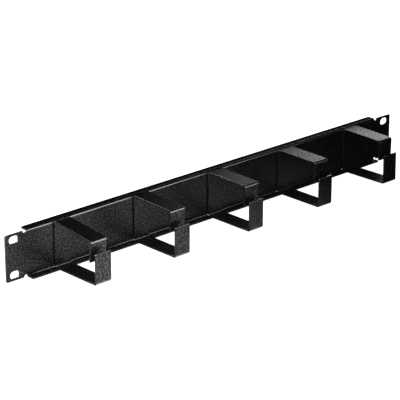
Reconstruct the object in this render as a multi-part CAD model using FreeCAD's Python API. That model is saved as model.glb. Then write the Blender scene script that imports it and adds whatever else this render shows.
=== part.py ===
"""Horizontal cable manager for a 19-inch rack, one rack unit high.

A folded sheet steel panel carries five open cable rings in a row along its front.
Each ring is a single strip of the same sheet: a back leg that is spot welded to the
panel, an upper arm and a lower arm, and at the front two tabs that pass each other
and leave a gap between them, through which cables are laid in.

Frame, in millimetres: the origin is the centre of the panel's rear face, which
seats on the rack rails. +X is along the panel, +Y goes back into the rack and +Z up.
"""
import FreeCAD, Part
import math
import os

from FreeCAD import Vector

# ---- driving dimensions ----------------------------------------------------------
SHEET = 1.5                      # sheet steel thickness, panel and rings alike
BEND_INSIDE_RADIUS = 0.5         # inside radius of every bend

PANEL_WIDTH = 482.6              # 19 inch rack front
PANEL_HEIGHT = 43.65             # one rack unit less its fitting gap
EAR_HEIGHT = 42.2
EAR_CORNER_RADIUS = 1.0
SLOT_SPACING_X = 465.1           # rack rail holes, side to side
SLOT_SPACING_Z = 31.75           # first to third rail hole of the rack unit
SLOT_LENGTH = 10.2
SLOT_WIDTH = 7.0

RELIEF_FROM_END = 20.7           # centre of each bend relief notch, in from the panel's end
RELIEF_WIDTH = 4.0
RELIEF_DEPTH = 3.0               # below the panel's top, and above its bottom
TOP_FLANGE_REACH = 8.2           # back from the panel's front face
BOTTOM_FLANGE_REACH = 7.2        # forward of the panel's front face
FLANGE_CORNER_RADIUS = 1.5

RING_PITCH = 90.5
RING_WIDTH = 17.2                # width of the ring strip, along the panel
LOWER_ARM_REACH = 55.0           # outside of the lower tab, forward of the panel's front face
UPPER_TAB_HEIGHT = 19.8
LOWER_TAB_HEIGHT = 28.5
TAB_CORNER_RADIUS = 1.0
RING_NOTCH_CLEARANCE = 0.2       # each side of a ring, where it passes the bottom flange

# The arms are bent by hand, so each ring differs a little, from the left one to the right one.
UPPER_ARM_REACHES = (49.7, 49.0, 49.1, 49.2, 48.4)  # outside of the upper tab, as for the lower one
UPPER_ARM_DROOPS = (5.3, 1.6, 1.2, 0.8, 1.3)        # front of the upper arm, below square
LOWER_ARM_DROOPS = (0.3, 0.4, 0.3, 0.3, -0.5)       # front of the lower arm, below square

# ---- worked-out dimensions -------------------------------------------------------
BEND_OUTSIDE_RADIUS = BEND_INSIDE_RADIUS + SHEET
TOP = PANEL_HEIGHT / 2
BOTTOM = -PANEL_HEIGHT / 2
FRONT_FACE = -SHEET                                  # the panel's front face, along Y
RELIEF_CENTRE = PANEL_WIDTH / 2 - RELIEF_FROM_END
FLANGE_LENGTH = 2 * (RELIEF_CENTRE - RELIEF_WIDTH / 2)
RING_COUNT = len(UPPER_ARM_REACHES)
RING_CENTRES = [RING_PITCH * (index - (RING_COUNT - 1) / 2) for index in range(RING_COUNT)]
NEARLY_PARALLEL = math.cos(math.radians(20))         # least cosine between an edge and the axis it runs along


# ---- bent sheet sections ---------------------------------------------------------
def directions(points):
    """Unit directions of the straight runs of a path."""
    return [(end - start).normalize() for start, end in zip(points, points[1:])]


def right_of(direction):
    """Direction square to a run in the Y-Z plane: its right-hand side, with +Y drawn to the right."""
    return Vector(0, direction.z, -direction.y)


def parallel_path(points, distance):
    """Corners of the path that runs at a distance to the right of another."""
    sides = [right_of(direction) for direction in directions(points)]
    corners = [points[0] + sides[0] * distance]
    for before, after, point in zip(sides, sides[1:], points[1:]):
        corners.append(point + (before + after) * (distance / (1 + before.dot(after))))
    corners.append(points[-1] + sides[-1] * distance)
    return corners


def rounded_path(points, radii):
    """Edges along a path, with a tangent arc at each of its corners."""
    runs = directions(points)
    edges = []
    start = points[0]
    for before, after, corner, radius in zip(runs, runs[1:], points[1:], radii):
        half_turn = before.getAngle(after) / 2
        trim = radius * math.tan(half_turn)
        inset = radius / math.cos(half_turn) - radius
        arc_start = corner - before * trim
        arc_middle = corner + (after - before).normalize() * inset
        arc_end = corner + after * trim
        edges.append(Part.makeLine(start, arc_start))
        edges.append(Part.Arc(arc_start, arc_middle, arc_end).toShape())
        start = arc_end
    edges.append(Part.makeLine(start, points[-1]))
    return edges


def bent_sheet(path, length, centre_x):
    """Sheet bent along a path of (Y, Z) corners, with its thickness to the path's right."""
    near = [Vector(centre_x - length / 2, y, z) for y, z in path]
    far = parallel_path(near, SHEET)
    runs = directions(near)
    near_radii, far_radii = [], []
    for before, after in zip(runs, runs[1:]):
        turns_right = right_of(before).dot(after) > 0
        near_radii.append(BEND_OUTSIDE_RADIUS if turns_right else BEND_INSIDE_RADIUS)
        far_radii.append(BEND_INSIDE_RADIUS if turns_right else BEND_OUTSIDE_RADIUS)
    ends = [Part.makeLine(near[0], far[0]), Part.makeLine(near[-1], far[-1])]
    edges = rounded_path(near, near_radii) + rounded_path(far, far_radii) + ends
    section = Part.Face(Part.Wire(Part.sortEdges(edges)[0]))
    return section.extrude(Vector(length, 0, 0))


def round_corners(solid, axis, radius, chosen):
    """Fillet the straight edges nearly parallel to an axis whose centre passes a test."""
    corners = []
    for edge in solid.Edges:
        straight = isinstance(edge.Curve, Part.Line)
        if straight and abs(edge.Curve.Direction.dot(axis)) > NEARLY_PARALLEL and chosen(edge.CenterOfMass):
            corners.append(edge)
    return solid.makeFillet(radius, corners)


# ---- panel -----------------------------------------------------------------------
def slot_cutter(centre_x, centre_z, along, length, width):
    """Round-ended cutter that goes right through the sheet, with its length along a direction."""
    straight = along * ((length - width) / 2)
    end = along * (width / 2)
    across = end.cross(Vector(0, 1, 0))
    low = Vector(centre_x, -2 * SHEET, centre_z) - straight
    high = Vector(centre_x, -2 * SHEET, centre_z) + straight
    outline = [
        Part.makeLine(low + across, high + across),
        Part.Arc(high + across, high + end, high - across).toShape(),
        Part.makeLine(high - across, low - across),
        Part.Arc(low - across, low - end, low + across).toShape(),
    ]
    return Part.Face(Part.Wire(outline)).extrude(Vector(0, 3 * SHEET, 0))


def ring_notch(centre_x):
    """Cutter for the gap in the bottom flange and its bend that a ring's lower arm passes through."""
    width = RING_WIDTH + 2 * RING_NOTCH_CLEARANCE
    depth = BOTTOM_FLANGE_REACH + 3 * SHEET
    low_corner = Vector(centre_x - width / 2, SHEET - depth, BOTTOM - SHEET)
    return Part.makeBox(width, depth, SHEET + BEND_OUTSIDE_RADIUS, low_corner)


def make_panel():
    """Z-folded panel: top flange back, bottom flange forward, and a flat slotted ear at each end."""
    flange_top = BOTTOM + SHEET
    panel = bent_sheet(
        [(FRONT_FACE - BOTTOM_FLANGE_REACH, flange_top), (FRONT_FACE, flange_top),
         (FRONT_FACE, TOP), (FRONT_FACE + TOP_FLANGE_REACH, TOP)],
        FLANGE_LENGTH, 0)
    ear_width = (PANEL_WIDTH - FLANGE_LENGTH) / 2
    ears = [Part.makeBox(ear_width, SHEET, EAR_HEIGHT, Vector(x, FRONT_FACE, -EAR_HEIGHT / 2))
            for x in (-PANEL_WIDTH / 2, FLANGE_LENGTH / 2)]
    panel = panel.fuse(ears).removeSplitter()

    cutters = [ring_notch(x) for x in RING_CENTRES]
    for x_side in (-1, 1):
        for z_side in (-1, 1):
            cutters.append(slot_cutter(x_side * SLOT_SPACING_X / 2, z_side * SLOT_SPACING_Z / 2,
                                       Vector(1, 0, 0), SLOT_LENGTH, SLOT_WIDTH))
            cutters.append(slot_cutter(x_side * RELIEF_CENTRE, z_side * TOP,
                                       Vector(0, 0, 1), 2 * RELIEF_DEPTH, RELIEF_WIDTH))
    panel = panel.cut(cutters)

    panel = round_corners(panel, Vector(0, 1, 0), EAR_CORNER_RADIUS,
                          lambda centre: abs(centre.x) > PANEL_WIDTH / 2 - SHEET)
    return round_corners(panel, Vector(0, 0, 1), FLANGE_CORNER_RADIUS,
                         lambda centre: abs(centre.x) > FLANGE_LENGTH / 2 - SHEET
                         and (centre.y > FRONT_FACE + TOP_FLANGE_REACH - SHEET
                              or centre.y < FRONT_FACE - BOTTOM_FLANGE_REACH + SHEET))


# ---- cable rings -----------------------------------------------------------------
def make_ring(centre_x, upper_reach, upper_droop, lower_droop):
    """One ring strip: upper tab, upper arm, back leg, lower arm and lower tab, in that order."""
    upper_arm = Vector(0, -upper_reach, -upper_droop)
    lower_arm = Vector(0, -LOWER_ARM_REACH, -lower_droop)
    upper_root = Vector(0, FRONT_FACE, TOP)
    lower_root = Vector(0, FRONT_FACE, BOTTOM)
    upper_bend = upper_root + upper_arm
    lower_bend = lower_root + lower_arm
    # Each tab is square to its arm: the upper one hangs down and the lower one stands up.
    upper_tab = right_of(upper_arm).normalize() * -UPPER_TAB_HEIGHT
    lower_tab = right_of(lower_arm).normalize() * LOWER_TAB_HEIGHT
    corners = [upper_bend + upper_tab, upper_bend, upper_root,
               lower_root, lower_bend, lower_bend + lower_tab]
    ring = bent_sheet([(corner.y, corner.z) for corner in corners], RING_WIDTH, centre_x)
    return round_corners(ring, Vector(0, 1, 0), TAB_CORNER_RADIUS,
                         lambda centre: centre.y < FRONT_FACE - upper_reach + 3 * SHEET)


# ---- write the pieces ------------------------------------------------------------
os.makedirs("parts", exist_ok=True)
pieces = {"panel": make_panel()}
rings = zip(RING_CENTRES, UPPER_ARM_REACHES, UPPER_ARM_DROOPS, LOWER_ARM_DROOPS)
for number, ring in enumerate(rings, start=1):
    pieces[f"cable_ring_{number}"] = make_ring(*ring)

for name, solid in pieces.items():
    solid.exportStep(f"parts/{name}.step")
    print(f"{name}: valid {solid.isValid()}, solids {len(solid.Solids)}, {solid.Volume:.0f} mm3")
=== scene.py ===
"""Finishes, studio and camera for a five-ring horizontal cable manager.

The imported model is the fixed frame. Each piece of folded sheet steel is shown by a copy of
its solid whose sharp edges carry the small radius that a powder coat leaves on them.
"""

from math import cos, radians, sin

import bmesh
import bpy
from bpy.props import FloatProperty, FloatVectorProperty, IntProperty, PointerProperty
from mathutils import Matrix, Vector


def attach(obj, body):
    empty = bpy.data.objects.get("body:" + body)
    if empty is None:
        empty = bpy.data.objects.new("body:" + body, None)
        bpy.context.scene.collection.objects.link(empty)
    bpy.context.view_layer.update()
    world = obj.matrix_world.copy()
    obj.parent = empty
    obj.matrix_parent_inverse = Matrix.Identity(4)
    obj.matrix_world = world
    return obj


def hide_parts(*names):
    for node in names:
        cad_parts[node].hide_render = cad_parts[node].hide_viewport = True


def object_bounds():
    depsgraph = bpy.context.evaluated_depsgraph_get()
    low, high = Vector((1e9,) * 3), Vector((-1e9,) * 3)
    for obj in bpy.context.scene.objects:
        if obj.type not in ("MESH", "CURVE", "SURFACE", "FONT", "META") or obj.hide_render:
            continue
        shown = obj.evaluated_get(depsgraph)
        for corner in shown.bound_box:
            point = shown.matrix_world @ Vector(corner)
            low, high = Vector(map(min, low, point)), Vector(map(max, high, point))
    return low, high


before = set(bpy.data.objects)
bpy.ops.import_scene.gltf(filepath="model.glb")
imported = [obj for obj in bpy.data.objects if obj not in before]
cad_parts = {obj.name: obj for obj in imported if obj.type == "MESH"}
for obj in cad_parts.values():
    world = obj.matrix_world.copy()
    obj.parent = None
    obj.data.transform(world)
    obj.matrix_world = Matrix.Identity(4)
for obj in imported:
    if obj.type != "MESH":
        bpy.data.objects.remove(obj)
CAD_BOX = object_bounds()

bl_info = {
    "name": "Horizontal cable manager",
    "version": (1, 0, 0),
    "blender": (4, 5, 0),
    "location": "3D View > Sidebar > Cable manager",
    "description": "Powder coat, soft studio and camera for a five-ring rack cable manager",
    "category": "Object",
}

MILLIMETRE = 0.001
BODY = "root"
RINGS = sorted(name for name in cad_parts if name.startswith("cable_ring"))

JOIN_DISTANCE = 0.001 * MILLIMETRE     # corners of loose triangles that are the same corner
FLAT_ANGLE = radians(0.5)              # faces that turn less than this are one flat face
SHARP_ANGLE = radians(50)              # cut edges of the sheet turn more than this, bends less
NORMAL_WEIGHT = 100                    # how far wide faces outweigh narrow ones in the shading

# Facets narrower than this that belong to a bend, whose normals have little along X, or to an upper
# edge, whose normals have much along Z, get the thin coat: the coat draws thin there, and its
# raised reflection paints a brighter highlight on them.
THIN_COAT_AND_HIGHLIGHT_WIDTH = 1.0 * MILLIMETRE
BEND_LEAN = 0.2                        # most of a bend's normal that is along X
UPPER_EDGE_LEAN = 0.3                  # least of an upper edge's normal that is along Z

GRAIN_DETAIL = 2.0                     # finer octaves of the grain
GRAIN_ROUGHNESS = 0.6                  # strength of each octave against the last
SPECK_HEIGHTS = (0.52, 0.72)           # grain heights between the body and the speck colour
GLOSS_HEIGHTS = (0.46, 0.66)           # grain heights between the hollow and the peak gloss
COAT_IOR = 1.5                         # polyester resin
# Raised above the resin's 1.5: a painted highlight, brighter lines of light on the bends and upper
# edges.
PAINTED_HIGHLIGHT_IOR = 2.2                    # raised, so that a bend's fine line of light shows
THIN_COAT_SMOOTHING = 10               # times lower the grain is where the coat draws thin

PAPER_GLOW = 0.97                      # white of the paper, less what the lamps add to it
WORLD_LEVEL = 0.35                     # even light from all round
FLOOR_REACH = 6.0                      # from the middle of the floor to each side
CAMERA_CLIP = (0.1, 50.0)              # nearest and furthest distance that the camera shows

# Studio lamps: name, azimuth from the part's front, elevation, distance, width, watts, and
# the place along X that each is aimed at.
SOFTBOXES = (
    ("softbox_front_right", 30, 5, 1.20, 0.50, 0.8, 0.0),
    ("softbox_left_low", -14, 10, 0.42, 0.32, 0.85, -0.13),
    ("softbox_left_end", -78, 31, 0.29, 0.16, 0.9, -0.36),
    ("softbox_right_end", 144, 18, 0.65, 0.30, 0.40, 0.54),
    ("rim_back_left", -153, 40, 0.80, 0.25, 0.7, -0.20),
    ("rim_back_right", 125, 45, 1.00, 0.25, 0.6, 0.0),
)

# Painted shade in the part's gloss: black cards, seen by glossy rays alone and graded along X, that
# darken the white studio which the glossy black part reflects: name, centre, length, width, tilt
# about X, and the places along X where each is clear and where it is black.
GLOSS_SHADE_CARDS = (
    ("card_behind", (0.50, 0.30, 0.38), 1.40, 0.80, 90, 0.50, 0.22),
    ("card_front", (0.00, -0.528, -0.0218), 2.40, 0.944, 0, -0.17, 0.14),
    ("card_inside", (0.00, 0.117, -0.0218), 2.40, 0.346, 0, -0.55, 0.22),
    ("card_close", (0.10, 0.012, 0.0155), 0.40, 0.031, 90, -0.10, -0.05),
    ("card_over", (0.50, -0.10, 0.32), 1.80, 0.79, 0, -1.00, -0.45),
    ("card_right", (0.90, -0.60, 0.20), 1.60, 0.42, 90, 0.34, 0.73),
)


def linear(hex_colour):
    """Linear red, green and blue of an sRGB hex colour."""
    channels = [int(hex_colour[start:start + 2], 16) / 255 for start in (0, 2, 4)]
    return [c / 12.92 if c <= 0.04045 else ((c + 0.055) / 1.055) ** 2.4 for c in channels]


# ---- settings ----------------------------------------------------------------------
class CoatSettings(bpy.types.PropertyGroup):
    """The black powder coat that covers every piece."""
    colour: FloatVectorProperty(
        name="Colour", description="Body colour of the powder coat",
        subtype="COLOR", min=0, max=1, default=linear("0D0D0E"))
    roughness: FloatProperty(
        name="Roughness", description="How far the coat spreads what it reflects",
        subtype="FACTOR", min=0, max=1, default=0.24)
    speck_colour: FloatVectorProperty(
        name="Speck colour",
        description="Colour of the coat's high points, which scatter more light",
        subtype="COLOR", min=0, max=1, default=linear("1E1E20"))
    grain_pitch: FloatProperty(
        name="Grain pitch", description="Distance between the high points of the textured coat",
        unit="LENGTH", default=1.5 * MILLIMETRE)
    grain_height: FloatProperty(
        name="Grain height", description="Height of the textured coat's high points",
        unit="LENGTH", default=0.3 * MILLIMETRE)
    hollow_gloss: FloatProperty(
        name="Hollow gloss", description="Share of the light that the coat's hollows reflect",
        subtype="FACTOR", min=0, max=1, default=0.35)
    peak_gloss: FloatProperty(
        name="Peak gloss", description="How much more light the coat's high points reflect",
        min=1, max=4, default=2.3)
    edge_radius: FloatProperty(
        name="Edge radius", description="Radius that the coat leaves on the cut edges of the sheet",
        unit="LENGTH", default=0.3 * MILLIMETRE)
    edge_segments: IntProperty(
        name="Edge segments", description="Facets across each rounded edge",
        min=1, max=6, default=3)
    bend_roughness: FloatProperty(
        name="Bend roughness", description="Roughness where the coat is drawn thin over the bends",
        subtype="FACTOR", min=0, max=1, default=0.16)


class StudioSettings(bpy.types.PropertyGroup):
    """The floor and the camera."""
    floor_colour: FloatVectorProperty(
        name="Floor colour", description="Colour of the paper that the part stands on",
        subtype="COLOR", min=0, max=1, default=linear("F2F2F2"))
    camera_azimuth: FloatProperty(
        name="Camera azimuth", description="Turn of the camera round the part, from its front",
        unit="ROTATION", default=radians(-43.208))
    camera_elevation: FloatProperty(
        name="Camera elevation", description="Angle of the camera above the horizon",
        unit="ROTATION", default=radians(20.418))
    camera_roll: FloatProperty(
        name="Camera roll", description="Turn of the camera about its own line of sight",
        unit="ROTATION", default=radians(-0.121))
    camera_distance: FloatProperty(
        name="Camera distance",
        description="Distance from the camera to the point that it looks at",
        unit="LENGTH", default=1.769)
    camera_aim: FloatVectorProperty(
        name="Camera aim", description="Point that the camera looks at",
        subtype="XYZ", unit="LENGTH", default=(-0.0114, 0.0056, -0.00704))
    camera_lens: FloatProperty(
        name="Lens", description="Focal length in millimetres on a 36 mm wide sensor",
        default=173.3)


# ---- materials ---------------------------------------------------------------------
def add_node(tree, kind, settings, links):
    """Add a node with its settings and the sockets that feed it.

    A setting is one of the node's sockets or properties. A socket goes by its name, or by its
    number where several have the same name.
    """
    node = tree.nodes.new(kind)
    for key, value in settings.items():
        if isinstance(key, int) or key in node.inputs:
            node.inputs[key].default_value = value
        else:
            setattr(node, key, value)
    for key, source in links.items():
        tree.links.new(source, node.inputs[key])
    return node


def new_material(name):
    """Empty node material."""
    material = bpy.data.materials.new(name)
    material.use_nodes = True
    material.node_tree.nodes.clear()
    return material


def grain(tree, coat):
    """Height of the coat's fine pebbled grain, from 0 to 1.

    The real grain is about 0.3 mm across; it is drawn a few times coarser, so that it shows.
    """
    place = add_node(tree, "ShaderNodeTexCoord", {}, {})
    noise = add_node(tree, "ShaderNodeTexNoise",
                     {"Scale": 1 / coat.grain_pitch, "Detail": GRAIN_DETAIL,
                      "Roughness": GRAIN_ROUGHNESS},
                     {"Vector": place.outputs["Object"]})
    return noise.outputs["Fac"]


def textured_powder_coat(name, coat):
    """Black fine-textured polyester powder coat, sprayed and cured on sheet steel.

    The eye gets a deep black with a soft sheen, broken up by a fine leathery grain whose
    high points catch the light as grey specks.
    """
    material = new_material(name)
    tree = material.node_tree
    height = grain(tree, coat)
    bump = add_node(tree, "ShaderNodeBump", {"Strength": 1.0, "Distance": coat.grain_height},
                    {"Height": height})
    lowest, highest = SPECK_HEIGHTS
    peaks = add_node(tree, "ShaderNodeMapRange", {"From Min": lowest, "From Max": highest},
                     {"Value": height})
    # Inputs 6 and 7 and output 2 of this node are its colours.
    colour = add_node(tree, "ShaderNodeMix",
                      {"data_type": "RGBA", 6: (*coat.colour, 1), 7: (*coat.speck_colour, 1)},
                      {"Factor": peaks.outputs["Result"]})
    lowest, highest = GLOSS_HEIGHTS
    gloss = add_node(tree, "ShaderNodeMapRange",
                     {"From Min": lowest, "From Max": highest,
                      "To Min": coat.hollow_gloss, "To Max": coat.peak_gloss},
                     {"Value": height})
    shader = add_node(tree, "ShaderNodeBsdfPrincipled",
                      {"Roughness": coat.roughness, "IOR": COAT_IOR},
                      {"Base Color": colour.outputs[2], "Normal": bump.outputs["Normal"],
                       "Specular Tint": gloss.outputs["Result"]})
    add_node(tree, "ShaderNodeOutputMaterial", {}, {"Surface": shader.outputs["BSDF"]})
    return material


def thin_coat_and_painted_highlight(name, coat):
    """The same coat where it draws thin and smooth over the bends and upper edges of the sheet,
    with a raised reflection that paints a brighter highlight there.

    The eye gets a fine bright line of light along each of them, with a trace of the grain.
    """
    material = new_material(name)
    tree = material.node_tree
    bump = add_node(tree, "ShaderNodeBump",
                    {"Strength": 1.0, "Distance": coat.grain_height / THIN_COAT_SMOOTHING},
                    {"Height": grain(tree, coat)})
    # Raised IOR, full specular level and a clear coat: a painted highlight on top of the thin
    # coat's own gloss.
    shader = add_node(tree, "ShaderNodeBsdfPrincipled",
                      {"Base Color": (*coat.colour, 1), "Roughness": coat.bend_roughness,
                       "IOR": PAINTED_HIGHLIGHT_IOR, "Specular IOR Level": 1.0,
                       "Coat Weight": 1.0, "Coat Roughness": coat.bend_roughness},
                      {"Normal": bump.outputs["Normal"]})
    add_node(tree, "ShaderNodeOutputMaterial", {}, {"Surface": shader.outputs["BSDF"]})
    return material


def backdrop_rays(tree):
    """Socket that is 1 for rays to the camera, off gloss or through glass, which see white."""
    rays = add_node(tree, "ShaderNodeLightPath", {}, {})
    seen = rays.outputs["Is Camera Ray"]
    for kind in ("Is Glossy Ray", "Is Transmission Ray"):
        either = add_node(tree, "ShaderNodeMath", {"operation": "MAXIMUM"},
                          {0: seen, 1: rays.outputs[kind]})
        seen = either.outputs["Value"]
    return seen


def studio_paper(studio):
    """Seamless white background paper, matt."""
    material = new_material("studio_paper_white")
    tree = material.node_tree
    paper = add_node(tree, "ShaderNodeBsdfDiffuse", {"Color": (*studio.floor_colour, 1)}, {})
    glow = add_node(tree, "ShaderNodeEmission",
                    {"Color": (1, 1, 1, 1), "Strength": PAPER_GLOW}, {})
    both = add_node(tree, "ShaderNodeAddShader", {},
                    {0: paper.outputs["BSDF"], 1: glow.outputs["Emission"]})
    mix = add_node(tree, "ShaderNodeMixShader", {},
                   {"Fac": backdrop_rays(tree),
                    1: paper.outputs["BSDF"], 2: both.outputs["Shader"]})
    add_node(tree, "ShaderNodeOutputMaterial", {}, {"Surface": mix.outputs["Shader"]})
    return material


def gloss_shade_card(name, clear_x, black_x):
    """Painted shade for the part's gloss: a black card, graded to clear along X, that shows in the
    part's gloss alone and casts no shadow.
    """
    material = new_material(name)
    tree = material.node_tree
    rays = add_node(tree, "ShaderNodeLightPath", {}, {})
    place = add_node(tree, "ShaderNodeTexCoord", {}, {})
    along = add_node(tree, "ShaderNodeSeparateXYZ", {}, {"Vector": place.outputs["Object"]})
    grade = add_node(tree, "ShaderNodeMapRange", {"From Min": clear_x, "From Max": black_x},
                     {"Value": along.outputs["X"]})
    seen = add_node(tree, "ShaderNodeMath", {"operation": "MULTIPLY"},
                    {0: rays.outputs["Is Glossy Ray"], 1: grade.outputs["Result"]})
    clear = add_node(tree, "ShaderNodeBsdfTransparent", {}, {})
    # Black seen by glossy rays alone: painted shade in the part's reflections.
    black = add_node(tree, "ShaderNodeBsdfDiffuse", {"Color": (0, 0, 0, 1)}, {})
    mix = add_node(tree, "ShaderNodeMixShader", {},
                   {"Fac": seen.outputs["Value"],
                    1: clear.outputs["BSDF"], 2: black.outputs["BSDF"]})
    add_node(tree, "ShaderNodeOutputMaterial", {}, {"Surface": mix.outputs["Shader"]})
    return material


COAT_MATERIALS = (("textured_powder_coat_black", textured_powder_coat),
                  ("thin_coat_and_painted_highlight_black", thin_coat_and_painted_highlight))


# ---- pieces ------------------------------------------------------------------------
def thin_coat_and_highlight_facet(face):
    """Whether a face is a narrow facet of a bend or of an upper edge, where the coat draws thin and
    a brighter highlight is painted.
    """
    width = face.calc_area() / max(edge.calc_length() for edge in face.edges)
    on_bend = abs(face.normal.x) < BEND_LEAN
    on_upper_edge = face.normal.z > UPPER_EDGE_LEAN
    return width < THIN_COAT_AND_HIGHLIGHT_WIDTH and (on_bend or on_upper_edge)


def coated_copy(node, coat):
    """Stand in for a CAD node with the same form, its cut edges rounded as the coat leaves them."""
    form = bmesh.new()
    form.from_mesh(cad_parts[node].data)
    bmesh.ops.remove_doubles(form, verts=form.verts[:], dist=JOIN_DISTANCE)
    bmesh.ops.dissolve_limit(form, angle_limit=FLAT_ANGLE, use_dissolve_boundaries=False,
                             verts=form.verts[:], edges=form.edges[:])
    sharp = [edge for edge in form.edges if edge.calc_face_angle(0) > SHARP_ANGLE]
    bmesh.ops.bevel(form, geom=sharp, affect="EDGES", offset=coat.edge_radius,
                    offset_type="OFFSET", segments=coat.edge_segments, profile=0.5, material=-1,
                    clamp_overlap=True)
    for face in form.faces:
        face.smooth = True
        # Index 1 is the thin coat, whose raised reflection paints a brighter highlight on these
        # facets.
        face.material_index = 1 if thin_coat_and_highlight_facet(face) else 0
    mesh = bpy.data.meshes.new(f"coated_{node}")
    form.to_mesh(mesh)
    form.free()
    for name, make in COAT_MATERIALS:
        mesh.materials.append(bpy.data.materials.get(name) or make(name, coat))

    piece = bpy.data.objects.new(f"coated_{node}", mesh)
    bpy.context.scene.collection.objects.link(piece)
    normals = piece.modifiers.new("Flat faces stay flat", "WEIGHTED_NORMAL")
    normals.weight = NORMAL_WEIGHT
    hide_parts(node)
    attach(piece, BODY)


class CoatPanel(bpy.types.Operator):
    """Show the folded panel with its powder coat"""
    bl_idname = "cable_manager.coat_panel"
    bl_label = "Coat panel"

    def execute(self, context):
        coat = context.scene.cable_manager_coat
        coated_copy("panel", coat)
        return {"FINISHED"}


class CoatRings(bpy.types.Operator):
    """Show the cable rings with their powder coat"""
    bl_idname = "cable_manager.coat_rings"
    bl_label = "Coat cable rings"

    def execute(self, context):
        coat = context.scene.cable_manager_coat
        for ring in RINGS:
            coated_copy(ring, coat)
        return {"FINISHED"}


# ---- stage -------------------------------------------------------------------------
def direction(azimuth, elevation):
    """Unit direction away from the part, turned from its front and raised from level."""
    return Vector((sin(azimuth) * cos(elevation), -cos(azimuth) * cos(elevation), sin(elevation)))


def stage_sheet(name, form, material):
    """Object made from a finished flat form, which it uses up."""
    mesh = bpy.data.meshes.new(name)
    form.to_mesh(mesh)
    form.free()
    mesh.materials.append(material)
    sheet = bpy.data.objects.new(name, mesh)
    bpy.context.scene.collection.objects.link(sheet)
    return sheet


def make_floor(studio):
    """Wide paper floor at the height of the part's underside."""
    form = bmesh.new()
    bmesh.ops.create_grid(form, x_segments=1, y_segments=1, size=FLOOR_REACH)
    bmesh.ops.translate(form, verts=form.verts[:], vec=(0, 0, CAD_BOX[0].z))
    floor = stage_sheet("floor", form, studio_paper(studio))


def make_gloss_shade_card(name, centre, length, width, tilt, clear_x, black_x):
    """Flat card, turned about X, that paints shade into the part's gloss."""
    form = bmesh.new()
    bmesh.ops.create_grid(form, x_segments=1, y_segments=1, size=0.5)
    bmesh.ops.scale(form, verts=form.verts[:], vec=(length, width, 1))
    bmesh.ops.rotate(form, verts=form.verts[:], cent=(0, 0, 0),
                     matrix=Matrix.Rotation(tilt, 3, "X"))
    bmesh.ops.translate(form, verts=form.verts[:], vec=centre)
    card = stage_sheet(name, form, gloss_shade_card(name, clear_x, black_x))


def make_softbox(name, towards, distance, size, watts, aim):
    """Square softbox that stands in a direction from the point that it looks at."""
    lamp = bpy.data.lights.new(name, "AREA")
    lamp.shape = "SQUARE"
    lamp.size = size
    lamp.energy = watts
    softbox = bpy.data.objects.new(name, lamp)
    softbox.matrix_world = (Matrix.Translation(Vector(aim) + towards * distance)
                            @ towards.to_track_quat("Z", "Y").to_matrix().to_4x4())
    bpy.context.scene.collection.objects.link(softbox)


def make_world():
    """Even surroundings that are plain white to the camera, in gloss and through glass."""
    world = bpy.data.worlds.new("studio")
    world.use_nodes = True
    tree = world.node_tree
    tree.nodes.clear()
    white = add_node(tree, "ShaderNodeBackground", {"Color": (1, 1, 1, 1), "Strength": 1.0}, {})
    even = add_node(tree, "ShaderNodeBackground",
                    {"Color": (1, 1, 1, 1), "Strength": WORLD_LEVEL}, {})
    mix = add_node(tree, "ShaderNodeMixShader", {},
                   {"Fac": backdrop_rays(tree),
                    1: even.outputs["Background"], 2: white.outputs["Background"]})
    add_node(tree, "ShaderNodeOutputWorld", {}, {"Surface": mix.outputs["Shader"]})
    bpy.context.scene.world = world


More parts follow.
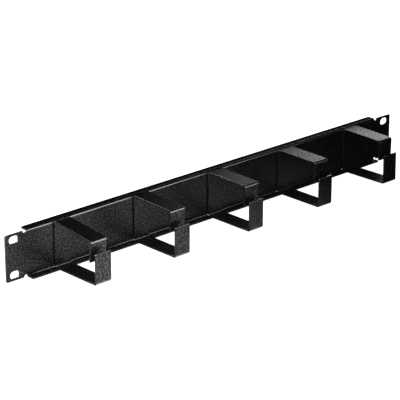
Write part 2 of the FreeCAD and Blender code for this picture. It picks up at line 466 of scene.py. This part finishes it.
def make_camera(studio):
    """Long-lens camera, low to the left of the part's front."""
    back = direction(studio.camera_azimuth, studio.camera_elevation)
    turn = (back.to_track_quat("Z", "Y").to_matrix().to_4x4()
            @ Matrix.Rotation(studio.camera_roll, 4, "Z"))
    lens = bpy.data.cameras.new("camera")
    lens.lens = studio.camera_lens
    lens.clip_start, lens.clip_end = CAMERA_CLIP
    camera = bpy.data.objects.new("camera", lens)
    place = Vector(studio.camera_aim) + back * studio.camera_distance
    camera.matrix_world = Matrix.Translation(place) @ turn
    bpy.context.scene.collection.objects.link(camera)
    bpy.context.scene.camera = camera


class SetStage(bpy.types.Operator):
    """Set the floor, the cards of painted shade in the gloss, the surroundings, the softboxes and
    the camera
    """
    bl_idname = "cable_manager.set_stage"
    bl_label = "Set stage"

    def execute(self, context):
        studio = context.scene.cable_manager_studio
        make_floor(studio)
        # Cards that paint shade into the part's gloss.
        for name, centre, length, width, tilt, clear_x, black_x in GLOSS_SHADE_CARDS:
            make_gloss_shade_card(name, centre, length, width, radians(tilt), clear_x, black_x)
        make_world()
        for name, azimuth, elevation, distance, size, watts, aim_x in SOFTBOXES:
            towards = direction(radians(azimuth), radians(elevation))
            make_softbox(name, towards, distance, size, watts, (aim_x, 0, 0))
        make_camera(studio)
        context.scene.view_settings.view_transform = "Standard"
        return {"FINISHED"}


# ---- sidebar -----------------------------------------------------------------------
class CableManagerPanel(bpy.types.Panel):
    """Sizes, colours and building steps of the cable manager"""
    bl_idname = "VIEW3D_PT_cable_manager"
    bl_label = "Cable manager"
    bl_space_type = "VIEW_3D"
    bl_region_type = "UI"
    bl_category = "Cable manager"

    def draw(self, context):
        for group in (context.scene.cable_manager_coat, context.scene.cable_manager_studio):
            box = self.layout.box()
            for name in group.__annotations__:
                box.prop(group, name)
        for operator in OPERATORS:
            self.layout.operator(operator.bl_idname)


OPERATORS = (CoatPanel, CoatRings, SetStage)
CLASSES = (CoatSettings, StudioSettings, *OPERATORS, CableManagerPanel)


def register():
    for cls in CLASSES:
        bpy.utils.register_class(cls)
    bpy.types.Scene.cable_manager_coat = PointerProperty(type=CoatSettings)
    bpy.types.Scene.cable_manager_studio = PointerProperty(type=StudioSettings)


def unregister():
    del bpy.types.Scene.cable_manager_studio
    del bpy.types.Scene.cable_manager_coat
    for cls in reversed(CLASSES):
        bpy.utils.unregister_class(cls)


def main():
    """Build every piece and the stage."""
    register()
    bpy.ops.cable_manager.coat_panel()
    bpy.ops.cable_manager.coat_rings()
    bpy.ops.cable_manager.set_stage()


if __name__ == "__main__":
    main()
